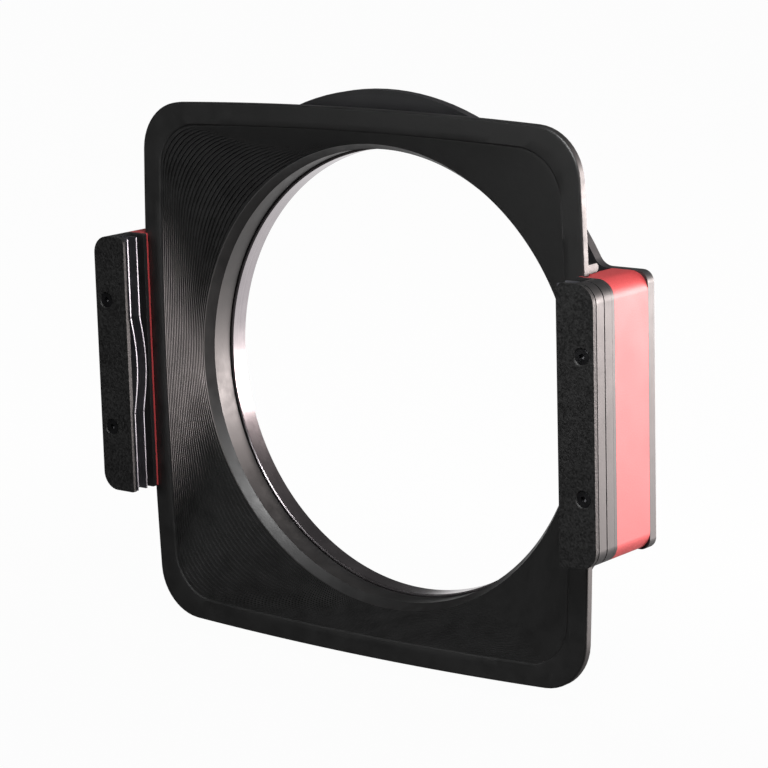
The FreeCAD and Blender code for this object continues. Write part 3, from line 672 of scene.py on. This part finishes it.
@dataclass
class FilterGuide:
    """One side's stack: front plate, two leaf springs, two slot bars, shim, spacer block and screws."""

    side: Side
    inner: float = 70.8
    slot_bottom: float = 75.25
    outer: float = 81.6
    top: float = 35.2
    outer_round: float = 4.8
    lead_round: float = 2.0
    inner_round: float = 0.4
    edge_break: float = 0.2
    plate_break: float = 0.32
    screw_x: float = 78.0
    screw_z: float = 17.6
    hole: float = 1.3
    sink: float = 2.4
    leaf_thick: float = 0.35
    leaf_reach: float = 0.45
    leaf_inset: float = 0.3
    leaf_bow: float = 1.7
    leaf_free: float = 13.0
    leaf_slit: float = 0.4
    groove_front: float = 9.95
    groove_rear: float = 12.65
    groove_floor: float = 72.75
    head: float = 2.1
    head_sunk: float = 0.25
    shank: float = 1.25
    socket: float = 0.75
    socket_deep: float = 0.8

    def named(self, what: str) -> str:
        """Gives a node's name on this side."""
        return f"{self.side.name.lower()}_{what}"

    def corners(self, inner: float, lead: float) -> list[tuple[float, float, float]]:
        """Lists the corners of a bar that reaches from one X outwards, with their radii."""
        s = float(self.side.value)
        return [
            (inner * s, -self.top, self.inner_round), (self.outer * s, -self.top, self.outer_round),
            (self.outer * s, self.top, self.outer_round), (inner * s, self.top, lead),
        ]

    def drilled(self, piece: Piece, outline: list, station: float) -> list:
        """Adds the two screw holes to an outline."""
        edges = list(outline)
        for z in (-self.screw_z, self.screw_z):
            edges += piece.ring(self.hole, station, self.screw_x * self.side.value, z, 32)
        return edges

    def bar(self, what: str, inner: float, front: float, rear: float, lead: float) -> Piece:
        """Models a drilled bar with softened edges.

        Args:
            what: The bar's name without its side.
            inner: X of its inner face.
            front: Station of its front face.
            rear: Station of its rear face.
            lead: Radius of its upper inner corner.

        Returns:
            The piece, not yet dressed.
        """
        piece = Piece(self.named(what) + "_machined")
        edges = self.drilled(piece, piece.outline(self.corners(inner, lead), front), front)
        piece.prism(edges, front, rear)
        bmesh.ops.recalc_face_normals(piece.bm, faces=piece.bm.faces)
        return piece

    def is_rim(self, station: float) -> Callable:
        """Makes a test for the outer edges of one face of a bar, leaving its holes."""
        on_face = at_station(station)

        def wanted(edge: bmesh.types.BMEdge) -> bool:
            """Says whether the edge is on the face and away from the screws."""
            x, z = edge.verts[0].co.x, edge.verts[0].co.z
            away = math.hypot(abs(x) - self.screw_x, abs(z) - self.screw_z)
            return away > self.hole + 0.5 and on_face(edge)

        return wanted

    def front_plate(self, material: bpy.types.Material) -> None:
        """Builds the blasted cover plate with its countersunk holes."""
        piece = self.bar("front_plate", self.inner, 0.0, AT.plate_rear, self.lead_round)
        on_face = at_station(0.0)
        rim = self.is_rim(0.0)
        piece.soften(lambda edge: on_face(edge) and not rim(edge), self.sink - self.hole, 1)
        piece.soften(rim, self.plate_break, 2)
        piece.done(material, Body.HOLDER, "black_anodised", [self.named("front_plate")])

    def slot_bar(self, slot: Slot, material: bpy.types.Material) -> None:
        """Builds the bar beside one filter slot."""
        front = AT.plate_rear if slot is Slot.FRONT else AT.front_bar_rear
        rear = AT.front_bar_rear if slot is Slot.FRONT else AT.rear_bar_rear
        name = f"{slot.value}_slot_bar"
        front += self.leaf_thick
        piece = self.bar(name, self.slot_bottom, front, rear, self.inner_round)
        piece.soften(self.is_rim(front), self.edge_break, 2)
        piece.soften(self.is_rim(rear), self.edge_break, 2)
        piece.done(material, Body.HOLDER, "black_anodised", [self.named(name)])

    def shim(self, material: bpy.types.Material) -> None:
        """Builds the thin bar that is the rear slot's rear wall, before the spacer block."""
        piece = self.bar("slot_shim", self.inner, AT.rear_bar_rear, AT.shim_rear, self.inner_round)
        piece.soften(self.is_rim(AT.rear_bar_rear), self.edge_break, 2)
        piece.done(material, Body.HOLDER, "black_anodised", [self.named("slot_shim")])

    def block(self, material: bpy.types.Material) -> None:
        """Builds the coloured block with the groove that grips the hood's rim."""
        piece = Piece(self.named("spacer_block") + "_machined")
        outline = piece.outline(self.corners(self.inner, self.inner_round), AT.shim_rear)
        edges = self.drilled(piece, outline, AT.shim_rear)
        piece.cap(edges)
        sink = self.groove_floor - self.inner
        near = self.inner + self.inner_round + MERGE

        def slid(station: float, inward: float) -> Callable[[Vector], Vector]:
            """Makes the move to a station that also slides the inner face by an amount."""

            def move(place: Vector) -> Vector:
                """Moves the vertex, and slides it if it belongs to the inner face."""
                limit = near + (sink if inward < 0.0 else 0.0)
                slide = inward if abs(place.x) < limit else 0.0
                return Vector((place.x + slide * self.side.value, station, place.z))

            return move

        edges = piece.onward(edges, slid(self.groove_front, 0.0))
        edges = piece.onward(edges, slid(self.groove_front, sink))
        edges = piece.onward(edges, slid(self.groove_rear, 0.0))
        edges = piece.onward(edges, slid(self.groove_rear, -sink))
        edges = piece.onward(edges, slid(AT.frame_front, 0.0))
        piece.cap(edges)
        bmesh.ops.remove_doubles(piece.bm, verts=piece.bm.verts, dist=MERGE)
        bmesh.ops.recalc_face_normals(piece.bm, faces=piece.bm.faces)
        piece.soften(self.is_rim(AT.shim_rear), self.plate_break, 2)
        piece.soften(self.is_rim(AT.frame_front), self.plate_break, 2)
        piece.done(material, Body.HOLDER, "red_anodised", [self.named("spacer_block")])

    def leaf(self, slot: Slot, material: bpy.types.Material) -> None:
        """Builds a thin spring plate with its bowed bridge."""
        s = float(self.side.value)
        front = AT.plate_rear if slot is Slot.FRONT else AT.front_bar_rear
        name = f"{slot.value}_leaf"
        near, far = self.inner - self.leaf_reach, self.outer - self.leaf_inset
        tall = self.top - self.leaf_inset
        free = self.leaf_free
        piece = Piece(self.named(name) + "_pressed")
        corners = [
            (near * s, -tall, 0.3), (far * s, -tall, self.outer_round), (far * s, tall, self.outer_round),
            (near * s, tall, 0.3), (near * s, free, 0.0), (self.slot_bottom * s, free, 0.0),
            (self.slot_bottom * s, -free, 0.0), (near * s, -free, 0.0),
        ]
        edges = self.drilled(piece, piece.outline(corners, front), front)
        piece.prism(edges, front, front + self.leaf_thick)
        wide = self.slot_bottom - self.leaf_slit - near
        long = free + self.leaf_thick
        made = bmesh.ops.create_grid(piece.bm, x_segments=1, y_segments=28, size=1.0)["verts"]
        for vert in made:
            z = vert.co.y * long
            rise = self.leaf_bow * max(0.0, 1.0 - (z / long) ** 2) ** 1.25
            vert.co = Vector(((near + (vert.co.x + 1.0) / 2.0 * wide) * s, front + rise, z))
        bridge = list({face for vert in made for face in vert.link_faces})
        whole = bmesh.ops.extrude_face_region(piece.bm, geom=bridge)["geom"]
        moved = [item for item in whole if isinstance(item, bmesh.types.BMVert)]
        bmesh.ops.translate(piece.bm, verts=moved, vec=(0.0, self.leaf_thick, 0.0))
        piece.done(material, Body.HOLDER, "black_spring_steel", [self.named(name)])

    def screw(self, end: str, sign: float, material: bpy.types.Material) -> None:
        """Builds one long countersunk screw with its hexagon socket."""
        piece = Piece(self.named(f"{end}_guide_screw") + "_turned")
        top = self.head_sunk
        cone = self.head - self.shank
        mouth = self.head - 0.12
        piece.lathe(
            [
                (mouth, top), (self.head, top + 0.1), (self.shank, top + cone),
                (self.shank, AT.screw_end - 0.3), (self.shank - 0.3, AT.screw_end), (0.0, AT.screw_end),
            ],
            48, closed=False,
        )
        bmesh.ops.remove_doubles(piece.bm, verts=piece.bm.verts, dist=MERGE)
        rim = [edge for edge in piece.bm.edges if edge.is_boundary]
        reach = self.socket / math.cos(math.pi / 6.0)
        hexagon = piece.ring(reach, top, segments=6)
        piece.cap(rim + hexagon)
        deep = top + self.socket_deep
        floor = piece.onward(hexagon, lambda place: Vector((place.x, deep, place.z)))
        tip = piece.onward(floor, lambda place: Vector((place.x * 0.2, deep + 0.25, place.z * 0.2)))
        piece.cap(tip)
        piece.shift(Matrix.Translation((self.screw_x * self.side.value, 0.0, self.screw_z * sign)))
        piece.done(material, Body.HOLDER, "black_steel", [self.named(f"{end}_guide_screw")])

    def build(self, plate: bpy.types.Material, bars: bpy.types.Material, red: bpy.types.Material,
              spring: bpy.types.Material, steel: bpy.types.Material) -> None:
        """Builds the whole guide with the given materials."""
        self.front_plate(plate)
        for slot in Slot:
            self.leaf(slot, spring)
            self.slot_bar(slot, bars)
        self.shim(bars)
        self.block(red)
        self.screw("upper", 1.0, steel)
        self.screw("lower", -1.0, steel)


# Frame, rings and small screws


@dataclass
class LensMount:
    """The main frame, the bright lens ring that it turns on, and the keeper ring with its screws."""

    ring_bore: float = 59.8
    ring_outer: float = 63.1
    flange: float = 65.6
    ring_break: float = 0.2
    ring_lead: float = 0.25
    groove_deep: float = 0.2
    keeper_inner: float = 63.4
    keeper_outer: float = 69.7
    keeper_edge: float = 0.2
    small_circle: float = 67.9
    small_turns: tuple[float, ...] = (45.0, 135.0, 225.0, 315.0)
    small_hole: float = 0.95
    frame_edge: float = 0.2

    def main_frame(self) -> None:
        """Dresses a merged copy of the frame's own solid, its edges softened."""
        name = "main_frame"
        piece = Piece("main_frame_machined")
        piece.bm.from_mesh(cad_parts[name].data)
        piece.shift(Matrix.Translation((0.0, AT.ring_rear, 0.0)) @ Matrix.Scale(1.0 / MM, 4))
        bmesh.ops.remove_doubles(piece.bm, verts=piece.bm.verts, dist=1e-3)
        bmesh.ops.dissolve_limit(
            piece.bm, angle_limit=math.radians(0.5), verts=piece.bm.verts, edges=piece.bm.edges
        )
        piece.soften(
            lambda edge: edge.is_manifold and edge.calc_face_angle() > math.radians(50.0)
            and min(math.hypot(v.co.x, v.co.z) for v in edge.verts) > 62.0,
            self.frame_edge, 2,
        )
        piece.done(TURNED_FRAME.build(), Body.HOLDER, "black_anodised", [name])

    def lens_ring(self) -> None:
        """Builds the bright ring with its flange."""
        piece = Piece("lens_ring_turned")
        cut, lead = self.ring_break, self.ring_lead
        groove = AT.ring_front + lead
        piece.lathe(
            [
                (self.ring_bore + lead, AT.ring_front), (self.flange - cut, AT.ring_front),
                (self.flange, AT.ring_front + cut), (self.flange, AT.flange_rear - cut),
                (self.flange - cut, AT.flange_rear), (self.ring_outer, AT.flange_rear),
                (self.ring_outer, AT.ring_rear - cut), (self.ring_outer - cut, AT.ring_rear),
                (self.ring_bore + cut, AT.ring_rear), (self.ring_bore, AT.ring_rear - cut),
                (self.ring_bore, groove + cut), (self.ring_bore + self.groove_deep, groove + cut),
                (self.ring_bore + self.groove_deep, groove), (self.ring_bore, groove),
            ],
            256,
        )
        piece.done(BRIGHT_RING.build(), Body.RING, "bright_black", ["lens_ring"])

    def keeper_ring(self) -> None:
        """Builds the thin ring that holds the lens ring in, with its four holes."""
        piece = Piece("keeper_ring_turned")
        edges = piece.ring(self.keeper_outer, AT.collar_rear, segments=256)
        edges += piece.ring(self.keeper_inner, AT.collar_rear, segments=256)
        for turn in self.small_turns:
            x, z = polar(self.small_circle, turn)
            edges += piece.ring(self.small_hole, AT.collar_rear, x, z, 24)
        piece.prism(edges, AT.collar_rear, AT.keeper_rear)
        bmesh.ops.recalc_face_normals(piece.bm, faces=piece.bm.faces)
        rear = at_station(AT.keeper_rear)

        def rims(edge: bmesh.types.BMEdge) -> bool:
            """Picks the ring's two rear rims and leaves the holes."""
            far = math.hypot(edge.verts[0].co.x, edge.verts[0].co.z)
            on_rim = min(abs(far - self.keeper_outer), abs(far - self.keeper_inner)) < 0.01
            return on_rim and rear(edge)

        piece.soften(rims, self.keeper_edge, 2)
        piece.done(KEEPER.build(), Body.HOLDER, "black_anodised", ["keeper_ring"])

    def small_screw(self, name: str, x: float, z: float, face: float, length: float,
                    material: bpy.types.Material) -> None:
        """Builds a small pan-head screw with a cross recess, driven from behind.

        Args:
            name: The CAD node that it stands for.
            x: Its place to the right.
            z: Its place upwards.
            face: Station on which its head rests.
            length: Length under its head.
            material: Its material.
        """
        head, tall, shank = 1.7, 0.5, 0.9
        rear = face + tall
        piece = Piece(name + "_pan_head")
        piece.lathe(
            [
                (0.0, face - length), (shank - 0.2, face - length), (shank, face - length + 0.2),
                (shank, face), (head, face), (head, face + 0.18), (head - 0.08, face + 0.34),
                (head - 0.3, rear - 0.05), (head - 0.6, rear),
            ],
            40, closed=False,
        )
        bmesh.ops.remove_doubles(piece.bm, verts=piece.bm.verts, dist=MERGE)
        rim = [edge for edge in piece.bm.edges if edge.is_boundary]
        arm, half = 0.78, 0.2
        corners, quarter = [], [(half, arm), (half, half), (arm, half)]
        for _ in range(4):
            corners += [(right, upward, 0.0) for right, upward in quarter]
            quarter = [(upward, -right) for right, upward in quarter]
        cross = piece.outline(corners, rear)
        piece.cap(rim + cross)
        floor = piece.onward(cross, lambda place: Vector((place.x * 0.62, rear - 0.42, place.z * 0.62)))
        piece.cap(floor)
        stop = math.radians(x * 7.0 + z * 3.0)  # each screw is left at a turn of its own
        piece.shift(Matrix.Translation((x, 0.0, z)) @ Matrix.Rotation(stop, 4, "Y"))
        piece.done(material, Body.HOLDER, "black_steel", [name])

    def build(self, steel: bpy.types.Material) -> None:
        """Builds the frame, the rings and the eight small screws."""
        self.main_frame()
        self.lens_ring()
        self.keeper_ring()
        for index, turn in enumerate(self.small_turns, start=1):
            x, z = polar(self.small_circle, turn)
            self.small_screw(f"keeper_screw_{index}", x, z, AT.keeper_rear, 4.4, steel)
        for index, turn in enumerate(LightHood.boss_turns, start=1):
            x, z = polar(LightHood.boss_circle, turn)
            self.small_screw(f"hood_screw_{index}", x, z, AT.disc_rear, 6.0, steel)


def polar(radius: float, turn: float) -> tuple[float, float]:
    """Gives X and Z of a place on a circle, at an angle in degrees above the X axis."""
    return radius * math.cos(math.radians(turn)), radius * math.sin(math.radians(turn))


@dataclass
class LockScrew:
    """The knurled thumb screw under the collar."""

    station: float = 32.1
    knob_top: float = 70.9
    knob_bottom: float = 75.9
    tip: float = 65.9
    shank: float = 1.25
    knob: float = 3.8
    groove_deep: float = 0.35
    grooves: int = 24
    chamfer: float = 0.45

    def knurled(self, radius: float, depth: float, along: float) -> Callable[[Vector], Vector]:
        """Makes the move that puts a vertex on a knurled section."""

        def move(place: Vector) -> Vector:
            """Puts the vertex on the section in its own direction."""
            turn = math.atan2(place.z, place.x) % FULL_TURN
            phase = (turn * self.grooves / FULL_TURN) % 1.0
            dip = depth * (1.0 - abs(2.0 * phase - 1.0)) ** 1.5
            far = radius - depth + dip
            return Vector((far * math.cos(turn), along, far * math.sin(turn)))

        return move

    def build(self) -> None:
        """Builds the knob along the axis, then turns it to point down."""
        piece = Piece("lock_screw_knurled")
        edges = piece.ring(self.shank, self.tip, segments=self.grooves * 8)
        piece.cap(edges)
        low, high = self.knob_top, self.knob_bottom
        edges = piece.onward(edges, lambda place: Vector((place.x, low, place.z)))
        plain = self.knob - self.groove_deep - self.chamfer
        for radius, depth, along in (
            (plain, 0.0, low), (self.knob, self.groove_deep, low + self.chamfer),
            (self.knob, self.groove_deep, high - self.chamfer), (plain, 0.0, high),
            (plain * 0.62, 0.0, high), (plain * 0.56, 0.0, high - 0.25),
        ):
            edges = piece.onward(edges, self.knurled(radius, depth, along))
        piece.cap(edges)
        turn = Matrix.Translation((0.0, self.station, 0.0)) @ Matrix.Rotation(-math.pi / 2.0, 4, "X")
        piece.shift(turn)
        piece.done(KNURLED_BLACK.build(), Body.LOCK, "knurled_black", ["lock_screw"])


# Studio


@dataclass
class Studio:
    """Camera at the photograph's angle, pale floor, white surroundings and soft lamps."""

    lens_mm: float = 139.866
    place: tuple[float, float, float] = (0.476948, -0.614186, 0.157157)
    yaw: float = 38.472
    pitch: float = 11.672
    roll: float = -1.560
    floor_z: float = -0.0763
    floor_side: float = 12.0
    room_level: float = 0.06
    paper_white: float = 0.975

    def camera(self) -> None:
        """Sets the camera where the photograph was taken from."""
        yaw, pitch, roll = (math.radians(angle) for angle in (self.yaw, self.pitch, self.roll))
        level_part = math.cos(pitch)
        ahead = Vector((-math.sin(yaw) * level_part, math.cos(yaw) * level_part, -math.sin(pitch)))
        level = Vector((math.cos(yaw), math.sin(yaw), 0.0))
        above = level.cross(ahead)
        right = level * math.cos(roll) + above * math.sin(roll)
        upward = above * math.cos(roll) - level * math.sin(roll)
        data = bpy.data.cameras.new("camera")
        data.lens = self.lens_mm
        data.sensor_width = 36.0
        data.clip_start, data.clip_end = 0.01, 50.0
        made = bpy.data.objects.new("camera", data)
        bpy.context.scene.collection.objects.link(made)
        turn = Matrix((right, upward, -ahead)).transposed().to_4x4()
        made.matrix_world = Matrix.Translation(self.place) @ turn
        bpy.context.scene.camera = made

    def lamp(self, name: str, place: Sequence[float], size: tuple[float, float], power: float,
             colour: str = "#FFFFFF") -> None:
        """Adds a soft rectangular lamp that faces the object.

        Args:
            name: Its name.
            place: Where it stands, in metres.
            size: Its width and height.
            power: Its power in watts.
            colour: The colour of its light.
        """
        data = bpy.data.lights.new(name, "AREA")
        data.shape = "RECTANGLE"
        data.size, data.size_y = size
        data.energy = power
        data.color = linear(colour)[:3]
        made = bpy.data.objects.new(name, data)
        bpy.context.scene.collection.objects.link(made)
        made.location = place
        made.visible_camera = False
        made.rotation_mode = "QUATERNION"
        made.rotation_quaternion = (-Vector(place)).to_track_quat("-Z", "Y")

    def seen_white(self, tree: bpy.types.NodeTree, behind: bpy.types.NodeSocket) -> bpy.types.NodeSocket:
        """Marks the rays that see plain white: direct ones, and mirrored ones that go behind the object.

        Args:
            tree: The node tree.
            behind: How much the place counts as behind the object, from 0 to 1.

        Returns:
            The mark's socket, from 0 to 1.
        """
        path = add_node(tree, "ShaderNodeLightPath").outputs
        mirrored = combine(tree, "MULTIPLY", path["Is Glossy Ray"], behind)
        direct = combine(tree, "MAXIMUM", path["Is Camera Ray"], path["Is Transmission Ray"])
        return combine(tree, "MAXIMUM", direct, mirrored)

    def world(self) -> None:
        """Makes the surroundings white to the camera and dim as a light.

        Reflections see the same white where the sweep stands, low behind the object.
        """
        made = bpy.data.worlds.new("white_room")
        made.use_nodes = True
        tree = made.node_tree
        tree.nodes.clear()
        ahead = add_node(tree, "ShaderNodeTexCoord")
        split = add_node(tree, "ShaderNodeSeparateXYZ", None, {0: ahead.outputs["Generated"]})
        behind = remap(tree, split.outputs["Y"], (0.1, 0.5))
        low = remap(tree, split.outputs["Z"], (0.04, 0.16), (1.0, 0.0))
        seen = self.seen_white(tree, combine(tree, "MULTIPLY", behind, low))
        level = remap(tree, seen, (0.0, 1.0), (self.room_level, 1.0))
        light = add_node(tree, "ShaderNodeBackground", {"Color": linear("#FFFFFF")}, {"Strength": level})
        add_node(tree, "ShaderNodeOutputWorld", None, {"Surface": light.outputs[0]})
        bpy.context.scene.world = made

    def floor(self) -> None:
        """Lays the pale floor, which the camera sees nearly white with the object's shadow on it.

        As a source of light it is pale behind the object and dark grey in front. The dark grey is painted
        shade, so that the front faces mirror shade and take less light from the floor.
        """
        bm = bmesh.new()
        bmesh.ops.create_grid(bm, x_segments=1, y_segments=1, size=self.floor_side / 2.0)
        bmesh.ops.translate(bm, verts=bm.verts, vec=(0.0, 0.0, self.floor_z))
        mesh = bpy.data.meshes.new("floor")
        bm.to_mesh(mesh)
        bm.free()
        made = bpy.data.objects.new("floor", mesh)
        bpy.context.scene.collection.objects.link(made)
        paper = bpy.data.materials.new("white_paper_sweep")
        paper.use_nodes = True
        tree = paper.node_tree
        tree.nodes.clear()
        glow = add_node(tree, "ShaderNodeEmission", {"Color": linear("#FFFFFF"), "Strength": 1.0})
        place = add_node(tree, "ShaderNodeTexCoord")
        split = add_node(tree, "ShaderNodeSeparateXYZ", None, {0: place.outputs["Object"]})
        # Painted shade: to rays other than the camera's, the floor's colour darkens from pale behind the
        # object to dark grey in front of it.
        shade = add_node(
            tree, "ShaderNodeMix", {"data_type": "RGBA", 6: linear("#484848"), 7: linear("#F4F4F4")},
            {0: remap(tree, split.outputs["Y"], (-0.04, 0.12))},
        )
        matt = add_node(tree, "ShaderNodeBsdfDiffuse", None, {"Color": shade.outputs[2]})
        seen = self.seen_white(tree, remap(tree, split.outputs["Y"], (0.0, 0.15)))
        share = remap(tree, seen, (0.0, 1.0), (0.0, self.paper_white))
        parts = {0: share, 1: matt.outputs[0], 2: glow.outputs[0]}
        both = add_node(tree, "ShaderNodeMixShader", None, parts)
        add_node(tree, "ShaderNodeOutputMaterial", None, {"Surface": both.outputs[0]})
        mesh.materials.append(paper)

    def build(self) -> None:
        """Sets up the whole studio."""
        self.camera()
        self.world()
        self.floor()
        self.lamp("rear_right_softbox", (0.64, 0.86, 0.005), (1.1, 0.14), 26.0, "#FFF1EE")
        self.lamp("front_right_fill", (0.26, -0.22, 0.34), (0.22, 0.22), 2.6)
        self.lamp("front_left_card", (-0.22, -0.86, 0.16), (0.3, 0.3), 1.0)
        self.lamp("top_softbox", (0.1, 0.1, 1.2), (1.2, 1.0), 1.6)
        bpy.context.scene.view_settings.view_transform = "Standard"


def main() -> None:
    """Builds the studio and every sub-assembly in order."""
    logging.basicConfig(level=logging.INFO, format="%(name)s: %(message)s")
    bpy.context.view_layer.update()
    Studio().build()
    LightHood().build()
    plate, bars, red = BLASTED_BLACK.build(), MILLED_BLACK.build(), ANODISED_RED.build()
    spring, steel = SPRING_STEEL.build(), OXIDE_STEEL.build()
    for side in Side:
        FilterGuide(side).build(plate, bars, red, spring, steel)
    LensMount().build(steel)
    LockScrew().build()


if __name__ == "__main__":
    main()
